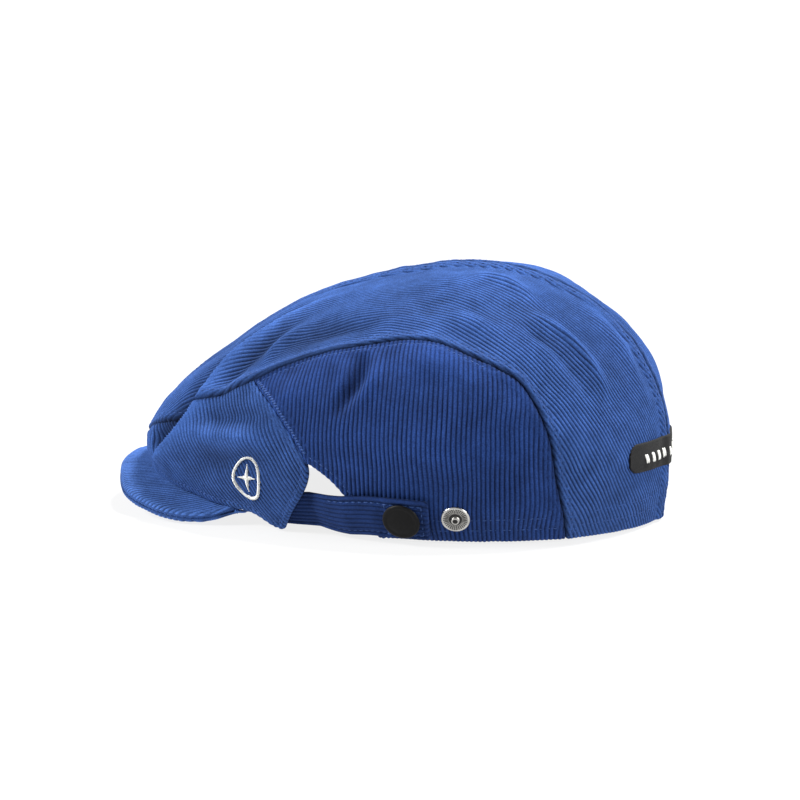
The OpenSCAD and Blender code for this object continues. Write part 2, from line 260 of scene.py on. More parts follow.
def near_line(p, n, line):
    """Signed distance from a line, positive on its right seen from outside, and the share of its length."""
    pts = fold_line(line)
    best, across, along = (np.full(p.shape[:-1], x) for x in (1e9, 0.0, 0.0))
    for i, (a, b) in enumerate(zip(pts[:-1], pts[1:])):
        ab = b - a
        w = np.clip(((p - a) @ ab) / (ab @ ab), 0, 1)
        off = p - (a + w[..., None] * ab)
        d = np.linalg.norm(off, axis=-1)
        nearer = d < best
        across = np.where(nearer, np.sign((np.cross(ab, n) * off).sum(-1)) * d, across)
        along = np.where(nearer, (i + w) / 30, along)
        best = np.minimum(best, d)
    return across, along


def bump(d, width):
    return np.exp(-(d / width) ** 2)


def on_left(p, n):
    """Points and normals mirrored to the left half, and how strong each point's folds are."""
    left = np.stack([p[..., 0], -np.abs(p[..., 1]), p[..., 2]], -1)
    nl = np.stack([n[..., 0], np.where(p[..., 1] > 0, -n[..., 1], n[..., 1]), n[..., 2]], -1)
    return left, nl, np.where(p[..., 1] > 0, .65, 1.0)


def ridge_ends(along, fade=.3):
    return smooth((1 - along) / fade) * smooth(along / .1)


def crease(p, n):
    """Share of the front ridge's crest at each point, where the wales are pressed flat."""
    left, nl, _ = on_left(p, n)
    across, along = near_line(left, nl, FRONT_RIDGE)
    return bump(across, 4.5) * ridge_ends(along)


def painted_fold_shading(p, n):
    """Painted light and shade for the folds: the folds' heights, a painted highlight along the ridge's crest,
    and painted shade in the hollows beside it and over the brow.
    """
    left, nl, own = on_left(p, n)
    across, along = near_line(left, nl, FRONT_RIDGE)
    # painted highlight along the ridge's crest, painted shade in the hollows on either side of it
    line = 9.0 * bump(across - 1.4, 1.5) - 3.0 * bump(across + 8, 6) - 1.0 * bump(across - 9, 6)
    line = line * ridge_ends(along)
    # painted shade over the brow
    middle = mirrored(crown(*BROW_SHADE), LEFT)
    shade = -4.0 * bump(np.linalg.norm(left - middle, axis=-1), SHADE_R)
    return folds(p, n) + own * line + shade


def folds(p, n):
    """How far the cloth stands off its smooth shape."""
    left, nl, own = on_left(p, n)
    h = 1.5 * noise(p, 48, 1) + 1.1 * noise(p, 21, 2) + .4 * noise(p, 10, 3)
    across, along = near_line(left, nl, FRONT_RIDGE)
    crest = 4.8 * np.exp((1.2 - np.hypot(across, 1.2)) / np.where(across > 0, 7, 2.6))
    far, near = -8.0 * bump(across + 10, 7), -3.0 * bump(across - 12, 5.5) * smooth((along - .3) / .2)
    h = h + own * (crest + np.where(across < 0, far, near)) * ridge_ends(along, .4)
    for line, height, right, left_width in SOFT_FOLDS:
        across, along = near_line(left, nl, line)
        taper = np.sin(np.pi * along) ** 1.6
        h = h + 1.3 * own * height * taper * bump(across, np.where(across > 0, right, left_width))
    rim = smooth((-p[..., 0] - 70) / 30)
    above = p[..., 2] - rim * np.maximum(arch_z(p[..., 1]) + PEAK_T, 0)
    return h * (rim * .35 + (1 - rim * .35) * smooth(above / 16))


def inner(t, v, depth):
    """Point under the crown's outer face, moved in where the cloth over it folds in."""
    n = outward(t, v)
    return under(t, v, depth) + np.minimum(folds(crown(t, v), n), 0)[..., None] * n


# ---- flattening: the flat piece of cloth that a patch is cut from
def doubled_area(a, b, c):
    return (b[:, 0] - a[:, 0]) * (c[:, 1] - a[:, 1]) - (b[:, 1] - a[:, 1]) * (c[:, 0] - a[:, 0])


def flatten(grid, rounds=40):
    m, n = grid.shape[:2]
    points, index = grid.reshape(-1, 3), np.arange(m * n).reshape(m, n)
    q = [index[:-1, :-1], index[1:, :-1], index[1:, 1:], index[:-1, 1:]]
    tri = np.concatenate([np.stack([q[0], q[1], q[2]], -1).reshape(-1, 3),
                          np.stack([q[0], q[2], q[3]], -1).reshape(-1, 3)])
    a, b, c = (points[tri[:, k]] for k in range(3))
    length = np.linalg.norm(b - a, axis=1)
    along = (b - a) / length[:, None]
    cx = ((c - a) * along).sum(1)
    local = np.zeros((len(tri), 3, 2))
    local[:, 1, 0], local[:, 2, 0] = length, cx
    local[:, 2, 1] = np.sqrt(np.maximum(((c - a) ** 2).sum(1) - cx ** 2, 1e-9))
    du, dv = (np.linalg.norm(np.diff(grid, axis=k), axis=2) for k in (0, 1))
    u = np.concatenate([np.zeros((1, n)), np.cumsum(du, 0)])
    v = np.concatenate([np.zeros((m, 1)), np.cumsum(dv, 1)], 1)[m // 2]
    uv = np.stack([u, np.repeat(v[None], m, 0)], -1).reshape(-1, 2)
    laplace, weights = np.zeros((m * n, m * n)), []
    for k in range(3):
        i, j = (k + 1) % 3, (k + 2) % 3
        p, r = local[:, i] - local[:, k], local[:, j] - local[:, k]
        w = (p * r).sum(1) / np.maximum(np.abs(p[:, 0] * r[:, 1] - p[:, 1] * r[:, 0]), 1e-9) * .5
        w = np.maximum(w, .02)
        weights.append(w)
        for s, e, f in ((i, i, 1), (j, j, 1), (i, j, -1), (j, i, -1)):
            np.add.at(laplace, (tri[:, s], tri[:, e]), f * w)
    laplace[0] = 0
    laplace[0, 0] = 1
    inverse = np.linalg.inv(laplace)
    for _ in range(rounds):
        turn = np.zeros((len(tri), 2, 2))
        for k in range(3):
            i, j = (k + 1) % 3, (k + 2) % 3
            e, l = uv[tri[:, i]] - uv[tri[:, j]], local[:, i] - local[:, j]
            turn += weights[k][:, None, None] * e[:, :, None] * l[:, None, :]
        cc, ss = turn[:, 0, 0] + turn[:, 1, 1], turn[:, 1, 0] - turn[:, 0, 1]
        h = np.hypot(cc, ss) + 1e-12
        cc, ss = cc / h, ss / h
        right = np.zeros((m * n, 2))
        for k in range(3):
            i, j = (k + 1) % 3, (k + 2) % 3
            l = local[:, i] - local[:, j]
            r = np.stack([cc * l[:, 0] - ss * l[:, 1], ss * l[:, 0] + cc * l[:, 1]], -1)
            r = r * weights[k][:, None]
            np.add.at(right, tri[:, i], r)
            np.add.at(right, tri[:, j], -r)
        right[0] = 0
        uv = inverse @ right
    return uv.reshape(m, n, 2), tri


def fill(points, ring_count):
    """Triangles inside the closed ring that the first points make, using the other points too."""
    ring = [(i, (i + 1) % ring_count) for i in range(ring_count)]
    _, _, tris, origin, _, _ = delaunay_2d_cdt([Vector(p) for p in points], ring, [], 1, 1e-7)
    first = np.array([o[0] if o else -1 for o in origin])
    tris = first[np.array(tris, int)]
    tris = tris[(tris >= 0).all(1)]
    area = doubled_area(*(points[tris[:, k]] for k in range(3)))
    tris[area < 0] = tris[area < 0][:, ::-1]
    return tris[np.abs(area) > 1e-9]


class Cut:
    """A flat piece of corduroy and where each point of it lies on the object."""
    step = WALE_STEP

    def __init__(self, place, xs, ys, grain, pitch, steps):
        self.place = place
        m, n = steps
        self.x, self.y = np.meshgrid(np.linspace(*xs, m), np.linspace(*ys, n), indexing="ij")
        grid, _ = place(self.x, self.y)
        self.uv, self.tri = flatten(grid)
        self.flat_xy = np.stack([self.x, self.y], -1).reshape(-1, 2)
        self.tree = BVHTree.FromPolygons([(u, v, 0) for u, v in self.uv.reshape(-1, 2)], self.tri.tolist())
        v = np.linspace(self.uv[..., 1].min() - 5, self.uv[..., 1].max() + 5, 200)
        angles = np.interp(v, [g[0] for g in grain], [g[1] for g in grain])
        self.shear = (v, np.concatenate([[0], np.cumsum((1 / np.tan(np.radians(angles)))[:-1] * np.diff(v))]))
        self.pitch = pitch / math.sin(math.radians(float(np.mean(angles))))
        g = self.uv
        self.sides = [g[:, 0], g[-1, :], g[::-1, -1], g[0, ::-1]]      # y low, x high, y high, x low
        self.ring = np.concatenate([s[:-1] for s in self.sides])

    def sheared(self, uv):
        return np.stack([uv[..., 0] - np.interp(uv[..., 1], *self.shear), uv[..., 1]], -1)

    def unsheared(self, st):
        return np.stack([st[..., 0] + np.interp(st[..., 1], *self.shear), st[..., 1]], -1)

    def params(self, uv):
        """Patch parameters of flat points."""
        flat_uv = self.uv.reshape(-1, 2)
        hits = [self.tree.find_nearest((float(u), float(v), 0.0)) for u, v in uv]
        tri = self.tri[np.array([h[2] for h in hits])]
        near = np.array([h[0][:2] for h in hits])
        a, b, c = (flat_uv[tri[:, k]] for k in range(3))
        whole = doubled_area(a, b, c)
        wb, wc = doubled_area(a, near, c) / whole, doubled_area(a, b, near) / whole
        w = np.stack([1 - wb - wc, wb, wc], -1)
        return (w[..., None] * self.flat_xy[tri]).sum(1)

    def distances(self, uv):
        """Distance to each of the four sides."""
        out = np.full((len(uv), 4), 1e9)
        for k, side in enumerate(self.sides):
            for a, b in zip(side[:-1], side[1:]):
                ab = b - a
                w = np.clip(((uv - a) @ ab) / max(ab @ ab, 1e-9), 0, 1)
                out[:, k] = np.minimum(out[:, k], np.linalg.norm(uv - (a + w[:, None] * ab), axis=1))
        return out

    def boundary(self):
        """The ring as points where wale columns cross it, with its corners, and its inward directions."""
        st, pts, inward = self.sheared(self.ring), [], []
        for start, end, a, b in zip(self.ring, np.roll(self.ring, -1, 0), st, np.roll(st, -1, 0)):
            lo, hi = sorted((a[0], b[0]))
            ks = np.arange(math.floor(lo / self.pitch) - 1, math.ceil(hi / self.pitch) + 2)
            cols = (ks[:, None] + np.array(WALE_COLUMNS)).ravel() * self.pitch
            w = (cols - a[0]) / (b[0] - a[0]) if abs(b[0] - a[0]) > 1e-9 else np.array([])
            w = np.sort(w[(w > .02) & (w < .98)])
            length = np.linalg.norm(end - start)
            keep = [0.0]
            for x in w:
                if (x - keep[-1]) * length > .12:
                    keep.append(float(x))
            full = []
            for x, y in zip(keep, keep[1:] + [1.0]):
                extra = int((y - x) * length / 1.3)
                full += [x + (y - x) * e / (extra + 1) for e in range(extra + 1)]
            e = unit(end - start)
            pts += [start + (end - start) * x for x in full]
            inward += [(-e[1], e[0])] * len(full)
        return np.array(pts), np.array(inward)

    def columns(self):
        """Points inside the ring on the wale columns."""
        st = self.sheared(self.ring)
        a, b = st, np.roll(st, -1, 0)
        k0, k1 = math.floor(st[:, 0].min() / self.pitch), math.ceil(st[:, 0].max() / self.pitch)
        cols = (np.arange(k0, k1 + 1)[:, None] + np.array(WALE_COLUMNS)).ravel() * self.pitch
        levels = np.arange(math.floor(st[:, 1].min() / self.step), math.ceil(st[:, 1].max() / self.step))
        levels = levels * self.step
        out = []
        for c in cols:
            hit = (a[:, 0] - c) * (b[:, 0] - c) < 0
            w = (c - a[hit, 0]) / (b[hit, 0] - a[hit, 0])
            cross = np.sort(a[hit, 1] + w * (b[hit, 1] - a[hit, 1]))
            for lo, hi in zip(cross[::2], cross[1::2]):
                out += [(c, v) for v in levels if lo + .3 < v < hi - .3]
        return np.array(out)


SEAM_ROLL = 1.3              # how far a sewn edge rolls in; a free edge rolls less
EDGE_ROWS = (.28, .7, 1.2, 1.9, 2.7, 3.4, 4.2)     # rows of mesh points along an edge
FAR = 9.0                    # distance from a seam that leaves the cloth unshaded


def profile(d, roll, bulge, rows):
    """Height near an edge: rolled over, swollen by the seam allowance and drawn in by rows of stitches."""
    inside = np.clip(roll - d, 0, roll)
    h = -(roll - np.sqrt(np.maximum(roll ** 2 - inside ** 2, 0)))
    h = h + bulge * np.exp(-((d - 2.4) / 2.6) ** 2)
    for r in rows:
        h = h - .42 * np.exp(-((d - r) / .62) ** 2)
    return h


def wale_profile(s, pitch):
    c = np.abs(((s / pitch) + .5) % 1 - .5) * 2
    return 1 - c ** 1.8


def surface(cut, uv, edges, wales=1.0, lower=0.0):
    """Points, normals, wale heights and distances from the four edges of flat points laid on the object."""
    d = cut.distances(uv)
    drift = np.stack([noise(np.insert(uv, 2, 40 * k, -1), 17, k) for k in (1, 2)], -1)
    xy = cut.params(uv + WALE_DRIFT * drift * smooth((d.min(1) - .5) / 8)[:, None])
    p, n = cut.place(xy[:, 0], xy[:, 1])
    h = cut.soft(p, n)
    if lower:
        return p + (h - lower)[:, None] * n, n, None, d
    w = wale_profile(cut.sheared(uv)[:, 0], cut.pitch)
    uneven = 1 + .22 * noise(p, 5.5, 4) + .12 * noise(p, 2.3, 5)
    shape = np.zeros(len(uv))
    for k, e in enumerate(edges):
        if e:
            shape += profile(d[:, k], *e)
            shape += .22 * noise(p, 6.5, k) * np.exp(-d[:, k] / 5)
    pressed = cut.pressed(p, n)
    h = h + shape + wales * WALE_H * (1 - .95 * pressed) * (w * uneven - .35)
    return p + h[:, None] * n, n, lerp(w, .8, pressed), d


def make_mesh(name, points, faces, material, attributes=None):
    me = bpy.data.meshes.new(name)
    me.from_pydata((np.asarray(points) / 1000).tolist(), [], [list(map(int, f)) for f in faces])
    me.polygons.foreach_set("use_smooth", [True] * len(me.polygons))
    for key, values in (attributes or {}).items():
        me.attributes.new(key, "FLOAT", "POINT").data.foreach_set("value", np.asarray(values, np.float32))
    me.materials.append(material)
    me.validate()
    ob = bpy.data.objects.new(name, me)
    bpy.context.collection.objects.link(ob)
    return ob


def settle(ob, body, slot, *nodes):
    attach(ob, body)
    if nodes:
        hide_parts(*nodes)
    return ob


def cloth_solid(name, cut, edges, material, depth=CLOTH_T):
    """A panel with its wales, its rolled edges and its back."""
    ring, inward = cut.boundary()
    rows = []
    for k, r in enumerate(EDGE_ROWS):
        q = ring + inward * r
        rows.append(q[cut.distances(q).min(1) > .93 * r])
    inner = cut.columns()
    inner_uv = cut.unsheared(inner)
    inner_uv = inner_uv[cut.distances(inner_uv).min(1) > EDGE_ROWS[-1] + .35]
    uv = np.concatenate([ring] + rows + [inner_uv])
    keep = np.concatenate([np.ones(len(ring), bool), inside_ring(uv[len(ring):], cut.ring)])
    uv = uv[keep]
    tris = fill(cut.sheared(uv), len(ring))
    p, n, w, d = surface(cut, uv, edges)
    lo, hi = cut.uv.reshape(-1, 2).min(0), cut.uv.reshape(-1, 2).max(0)
    back = np.stack(np.meshgrid(np.arange(lo[0], hi[0], 6), np.arange(lo[1], hi[1], 6)), -1).reshape(-1, 2)
    back = back[inside_ring(back, cut.ring)]
    back = np.concatenate([ring, back[cut.distances(back).min(1) > 2]])
    back_tris = fill(back, len(ring))[:, ::-1] + len(p)
    bp, bn, _, _ = surface(cut, back, edges, lower=depth)
    r = np.arange(len(ring))
    s = np.roll(r, -1)
    wall = np.stack([s, r, r + len(p), s + len(p)], -1)
    faces = tris.tolist() + back_tris.tolist() + wall.tolist()
    if cut.flip:
        faces = [f[::-1] for f in faces]
    seams = [bool(e) and e[0] == SEAM_ROLL for e in edges]
    free = [not seam for seam in seams]
    nearest = [d[:, which].min(1) if any(which) else np.full(len(d), FAR) for which in (free, seams)]
    return make_mesh(name, np.concatenate([p, bp]), faces, material,
                     {"wale": np.concatenate([w, np.full(len(bp), .3)]),
                      "edge": np.concatenate([nearest[0], np.zeros(len(bp))]),
                      "seam": np.concatenate([nearest[1], np.full(len(bp), FAR)]),
                      "lift": np.concatenate([cut.tone(p, n), np.zeros(len(bp))])})


def inside_ring(p, ring):
    """Which points lie inside a closed ring."""
    inside = np.zeros(len(p), bool)
    for a, b in zip(ring, np.roll(ring, -1, 0)):
        crossing = (a[1] > p[:, 1]) != (b[1] > p[:, 1])
        if crossing.any():
            x = a[0] + (p[:, 1] - a[1]) / (b[1] - a[1] + 1e-12) * (b[0] - a[0])
            inside ^= crossing & (p[:, 0] < x)
    return inside


# ---- stitches
STITCH_PITCH, STITCH_LEN, THREAD_R = 3.1, 2.3, .26
ROPE_PITCH, ROPE_STITCH = 1.7, (2.0, .42, .9)          # the stitch's length, radius and slant


def stitch_points(cut, edges, side, inset, start=0.0, end=1.0, pitch=STITCH_PITCH):
    """Middle, direction and normal of each stitch in a row along one side of a piece."""
    line = cut.sides[side]
    e = unit(np.gradient(line, axis=0))
    line = line + np.stack([-e[:, 1], e[:, 0]], -1) * inset
    seg = np.linalg.norm(np.diff(line, axis=0), axis=1)
    s = np.concatenate([[0], np.cumsum(seg)])
    at = np.arange(max(s[-1] * start, inset), min(s[-1] * end, s[-1] - inset), pitch)
    where = lambda q: np.stack([np.interp(q, s, line[:, 0]), np.interp(q, s, line[:, 1])], -1)
    (p, n), (a, _), (b, _) = (surface(cut, where(q), edges, wales=0)[:2] for q in (at, at - .6, at + .6))
    return p + n * (.18 * WALE_H + .12), unit(b - a), n


def thread(name, material, p, along, n, length=STITCH_LEN, radius=THREAD_R, slant=0.0):
    """Short rounded stitches, each sunk at its ends."""
    rng = np.random.default_rng(len(p))
    across = unit(np.cross(n, along))
    along = unit(along + across * (slant + rng.normal(0, .035, len(p)))[:, None])
    across = unit(np.cross(n, along))
    stations = ((-.5, .35, -.34), (-.4, .85, -.08), (-.15, 1, .06),       # along, thickness, lift
                (.15, 1, .06), (.4, .85, -.08), (.5, .35, -.34))
    length = length * (1 + rng.normal(0, .04, len(p)))
    rings = []
    for s, r, lift in stations:
        centre = p + along * (s * length)[:, None] + n * lift
        for k in range(6):
            a = k * math.pi / 3
            rings.append(centre + radius * r * (across * math.cos(a) * 1.15 + n * math.sin(a) * .85))
    pts = np.stack(rings, 1).reshape(-1, 3)
    k, j = np.divmod(np.arange(30), 6)
    sides = np.stack([k * 6 + j, k * 6 + (j + 1) % 6, (k + 1) * 6 + (j + 1) % 6, (k + 1) * 6 + j], -1)
    ends = np.array([range(5, -1, -1), range(30, 36)])
    first = 36 * np.arange(len(p))[:, None, None]
    quads, caps = (sides + first).reshape(-1, 4), (ends + first).reshape(-1, 6)
    return make_mesh(name, pts, quads.tolist() + caps.tolist(), material)


# ---- materials
# colour of the painted sheen on crests, and colour of the painted shade in the stud's hollows
PAINTED_SHEEN, PAINTED_HOLLOW_SHADE = (.16, .27, .60, 1), (.006, .006, .007, 1)


def new_material(name):
    mat = bpy.data.materials.new(name)
    mat.use_nodes = True
    return mat, mat.node_tree, mat.node_tree.nodes["Principled BSDF"]


def rgb(hex_code):
    c = [int(hex_code[i:i + 2], 16) / 255 for i in (1, 3, 5)]
    return tuple(x / 12.92 if x <= .04045 else ((x + .055) / 1.055) ** 2.4 for x in c) + (1.0,)


def preset(node, values):
    for key, value in values.items():
        node.inputs[key].default_value = value
    return node


def attribute(tree, name):
    node = tree.nodes.new("ShaderNodeAttribute")
    node.attribute_name = name
    return node.outputs["Fac"]


def cloth_noise(tree, scale, detail=3.0):
    coords = tree.nodes.new("ShaderNodeTexCoord")
    tex = preset(tree.nodes.new("ShaderNodeTexNoise"), {"Scale": scale, "Detail": detail})
    tree.links.new(coords.outputs["Object"], tex.inputs["Vector"])
    return tex.outputs["Fac"]


def mix_colour(tree, fac, a, b, blend="MIX"):
    mix = tree.nodes.new("ShaderNodeMix")
    mix.data_type, mix.blend_type = "RGBA", blend
    for socket, value in ((mix.inputs["Factor"], fac), (mix.inputs[6], a), (mix.inputs[7], b)):
        if isinstance(value, (tuple, float, int)):
            socket.default_value = value
        else:
            tree.links.new(value, socket)
    return mix.outputs[2]


def ramp(tree, source, low, high, out_low=0.0, out_high=1.0):
    r = preset(tree.nodes.new("ShaderNodeMapRange"),
               {"From Min": low, "From Max": high, "To Min": out_low, "To Max": out_high})
    tree.links.new(source, r.inputs["Value"])
    return r.outputs["Result"]


def relief(tree, shader, height, strength, distance):
    """Fine roughness of a surface, as a bump."""
    node = preset(tree.nodes.new("ShaderNodeBump"), {"Strength": strength, "Distance": distance})
    tree.links.new(height, node.inputs["Height"])
    tree.links.new(node.outputs["Normal"], shader.inputs["Normal"])


def corduroy_material(name, groove, ridge, worn, sheen=.16):
    mat, tree, shader = new_material(name)
    # the grooves are darker: partly the cloth's own ground, partly painted shade in the grooves
    base = mix_colour(tree, ramp(tree, attribute(tree, "wale"), .05, .9), groove, ridge)
    base = mix_colour(tree, ramp(tree, cloth_noise(tree, 38), .35, .68, 0, .45), base, worn)
    lift = attribute(tree, "lift")
    for tone in (ramp(tree, cloth_noise(tree, 1500, 2), .3, .7, .70, 1.25),      # fibres
                 ramp(tree, cloth_noise(tree, 130, 5), .33, .68, .86, 1.16),     # uneven nap
                 ramp(tree, attribute(tree, "edge"), .4, 1.6, 1.35, 1.0),        # free edges, paler as painted highlight on the rolled edge and as rubbing
                 ramp(tree, attribute(tree, "seam"), .2, 2.0, .40, 1.0),         # seams, in shade
                 ramp(tree, lift, -4.8, 12.0, .40, 2.5)):                        # painted shade in hollows, painted light on folds
        base = mix_colour(tree, 1.0, base, tone, "MULTIPLY")
    # painted sheen: where the lift is highest the colour turns pale blue
    base = mix_colour(tree, ramp(tree, lift, 6.0, 12.0, 0, .6), base, PAINTED_SHEEN)
    tree.links.new(base, shader.inputs["Base Color"])
    preset(shader, {"Roughness": .95, "Specular IOR Level": .12, "Sheen Weight": sheen,
                    "Sheen Roughness": .42, "Sheen Tint": rgb("#7fa2e6")})
    relief(tree, shader, cloth_noise(tree, 2400, 3), .55, .00025)
    return mat


def thread_material(name, colour, sheen=.3):
    mat, tree, shader = new_material(name)
    twist = ramp(tree, cloth_noise(tree, 900, 2), .3, .7, .75, 1.15)
    tree.links.new(mix_colour(tree, 1.0, colour, twist, "MULTIPLY"), shader.inputs["Base Color"])
    preset(shader, {"Roughness": .6, "Specular IOR Level": .25, "Sheen Weight": sheen})
    relief(tree, shader, cloth_noise(tree, 3000, 1), 1.0, .0001)
    return mat


def woven_material(name, dark, light, threads, rough=.75, sheen=.2, angle=0.0):
    """Fine woven cloth: two crossed sets of threads."""
    mat, tree, shader = new_material(name)
    coords = tree.nodes.new("ShaderNodeTexCoord")
    turn = preset(tree.nodes.new("ShaderNodeMapping"), {"Rotation": (angle, angle, angle)})
    tree.links.new(coords.outputs["Object"], turn.inputs["Vector"])
    weave = tree.nodes.new("ShaderNodeMath")
    weave.operation = "MULTIPLY"
    for axis, socket in zip("XZ", weave.inputs):
        wave = preset(tree.nodes.new("ShaderNodeTexWave"),
                      {"Scale": threads, "Distortion": 1.2, "Detail": 1.0})
        wave.bands_direction = axis
        tree.links.new(turn.outputs["Vector"], wave.inputs["Vector"])
        tree.links.new(wave.outputs["Fac"], socket)
    base = mix_colour(tree, ramp(tree, weave.outputs[0], .1, .8), dark, light)
    base = mix_colour(tree, ramp(tree, cloth_noise(tree, 60), .4, .7, 0, .35), base, dark)
    tree.links.new(base, shader.inputs["Base Color"])
    preset(shader, {"Roughness": rough, "Specular IOR Level": .3, "Sheen Weight": sheen})
    relief(tree, shader, weave.outputs[0], .5, .0002)
    return mat


def metal_material(name, colour, metallic, rough, scratch=.25):
    """Metal, or with metallic 0 a painted or plain hard surface."""
    mat, tree, shader = new_material(name)
    tone = ramp(tree, cloth_noise(tree, 260, 4), .35, .7, .78, 1.1)
    base = mix_colour(tree, 1.0, colour, tone, "MULTIPLY")
    # painted shade where the "ring" attribute is set, in the stud's hollows and rib grooves
    base = mix_colour(tree, attribute(tree, "ring"), base, PAINTED_HOLLOW_SHADE)
    tree.links.new(base, shader.inputs["Base Color"])
    tree.links.new(ramp(tree, cloth_noise(tree, 700, 3), .3, .7, rough - .08, rough + .1),
                   shader.inputs["Roughness"])
    preset(shader, {"Metallic": metallic, "Specular IOR Level": .5 if metallic else .18})
    relief(tree, shader, cloth_noise(tree, 1800, 2), scratch, .00008)
    return mat


# groove, ridge and worn colours; the side panels and straps get a darker copy as painted shade, the peak a
# lighter copy as painted light
M_CORD = corduroy_material("blue_corduroy", (.0020, .0058, .028, 1), (.0325, .0820, .264, 1),
                           (.0230, .0610, .205, 1))
M_CORD_SHADED = corduroy_material("blue_corduroy_painted_shade", (.0018, .0060, .031, 1), (.0157, .0450, .178, 1),
                                (.0115, .0345, .140, 1), .09)
M_CORD_LIT = corduroy_material("blue_corduroy_painted_light", (.0024, .0070, .031, 1), (.0530, .1230, .365, 1),
                              (.0380, .0920, .285, 1))
M_THREAD = thread_material("blue_thread", (.024, .068, .235, 1), 0)
M_WHITE = thread_material("white_thread", rgb("#efefea"))
M_GREY = thread_material("grey_thread", rgb("#4c4e55"))
M_BAND = woven_material("black_twill", rgb("#0c0d10"), rgb("#26282d"), 900, angle=.785)
M_LINING = woven_material("charcoal_lining", rgb("#191b21"), rgb("#383b44"), 1300, rough=.55)
M_LABEL = woven_material("black_damask", rgb("#020203"), rgb("#0b0b0e"), 1500, rough=.8, sheen=.03)
M_BOARD = metal_material("pale_board", rgb("#cdc8ba"), 0.0, .7)
M_CAP = metal_material("black_lacquer", rgb("#040405"), 0.0, .5, .12)
M_STEEL = metal_material("nickel", rgb("#cfcdc9"), 1.0, .27)
M_DARK_STEEL = metal_material("dark_nickel", rgb("#5b5c60"), 1.0, .36)

# ---- crown panels
PITCH_SIDE, PITCH_TOP, PITCH_FRONT, PITCH_PEAK = 2.2, 1.9, 2.0, 2.1
SEAM_EDGE = (SEAM_ROLL, .75, (3.3,))
PLAIN_SEAM = (SEAM_ROLL, .35, ())
HEM_EDGE = (.9, .15, (7.0, 13.5))
CREST_EDGE = (SEAM_ROLL, 1.7, (3.0, 6.0))
FOLDED_EDGE = (.9, .35, (3.6,))


def crown_cut(patch, side, xs, grain, pitch, steps):
    cut = Cut(lambda x, y: on_crown(patch, x, y, side), xs, (0, 1), grain, pitch, steps)
    cut.soft, cut.tone, cut.pressed = folds, painted_fold_shading, crease
    cut.flip = False
    return cut


def facing(cut):
    """Whether the piece's flat side lies face down, so that its faces have to be turned over."""
    c = cut.ring.mean(0)
    q = np.array([c, c + (1, 0), c + (0, 1)])
    xy = cut.params(q)
    p, n = cut.place(xy[:, 0], xy[:, 1])
    return float(np.dot(np.cross(p[1] - p[0], p[2] - p[0]), n[0])) < 0


def crown_panel(name, patch, side, xs, grain, pitch, steps, edges, rows, slanted=(), material=M_CORD,
                step=WALE_STEP):
    cut = crown_cut(patch, side, xs, grain, pitch, steps)
    cut.flip, cut.step = facing(cut), step
    settle(cloth_solid(name + "_cloth", cut, edges, material), "crown", "corduroy", name)
    plain = joined([stitch_points(cut, edges, *row) for row in rows])
    settle(thread(name + "_topstitch", M_THREAD, *plain), "crown", "corduroy")
    for k, row in enumerate(slanted):
        rope = stitch_points(cut, edges, *row, ROPE_PITCH)
        settle(thread(f"{name}_rope_stitch_{k}", M_THREAD, *rope, *ROPE_STITCH), "crown", "corduroy")


TOP_GRAIN = ((0, 106), (44, 98), (75, 88), (134, 76), (180, 86), (227, 96))


def crown_panels():
    for word, side in SIDES:
        crown_panel("top_panel_" + word, top_patch, side, (0, 1), TOP_GRAIN, PITCH_TOP, (25, 57),
                    (HEM_EDGE, CREST_EDGE, SEAM_EDGE, SEAM_EDGE),
                    [(1, 3.0), (2, 3.3), (3, 3.3), (0, 7.0), (0, 13.5)])
        crown_panel("side_panel_" + word, side_patch, side, (0, 1), ((0, 103), (200, 103)), PITCH_SIDE,
                    (43, 31), (HEM_EDGE, FOLDED_EDGE, (SEAM_ROLL, .1, (2.6,)), PLAIN_SEAM),
                    [(0, 7.0), (0, 13.5), (1, 3.6, 0, .5), (2, 2.6)], [(1, 1.9, .52, .98)], M_CORD_SHADED)
    crown_panel("front_panel", front_patch, LEFT, (-1, 1), ((0, 120), (200, 120)), PITCH_FRONT, (75, 25),
                ((.9, .1, (3.6,)), FOLDED_EDGE, PLAIN_SEAM, FOLDED_EDGE),
                [(1, 3.6, 0, .45), (3, 3.6, .55, 1), (0, 3.6)], step=1.1)


# ---- peak
PEAK_EDGE = [(-169, 0), (-165, 28), (-151, 59), (-132, 74), (-113, 80.5), (-97, 79), (-86, 74.5)]


def peak_plan(u, w):
    """Plan position; u -1 to 1 along the peak, w 0 at the crown to 1 at the outer edge."""
    t = np.radians(lerp(180, 139, np.abs(u)))
    r = half_oval(np.cos(t), np.sin(t), RIM_BACK, RIM_FRONT, RIM_HALF_W, 2.4) - 5
    inner = np.stack([POLE_X + r * np.cos(t), r * np.sin(t)], -1)
    p = lerp(inner, path(PEAK_EDGE, np.abs(u)), w[..., None])
    return p[..., 0], np.where(u < 0, -1, 1) * p[..., 1]


def peak_place(height, up):
    def place(u, w):
        x, y = peak_plan(u, w)
        base = np.maximum(arch_z(y), 0)
        slope = np.where(np.abs(y) < ARCH_HALF_W, -2 * ARCH_RISE * y / ARCH_HALF_W ** 2, 0)
        n = unit(np.stack([0 * x, -slope, 1 + 0 * x], -1)) * up
        tucked = 2.0 * smooth((np.abs(u) - .78) / .2)
        return np.stack([x, y, base + height + tucked], -1), n
    return place


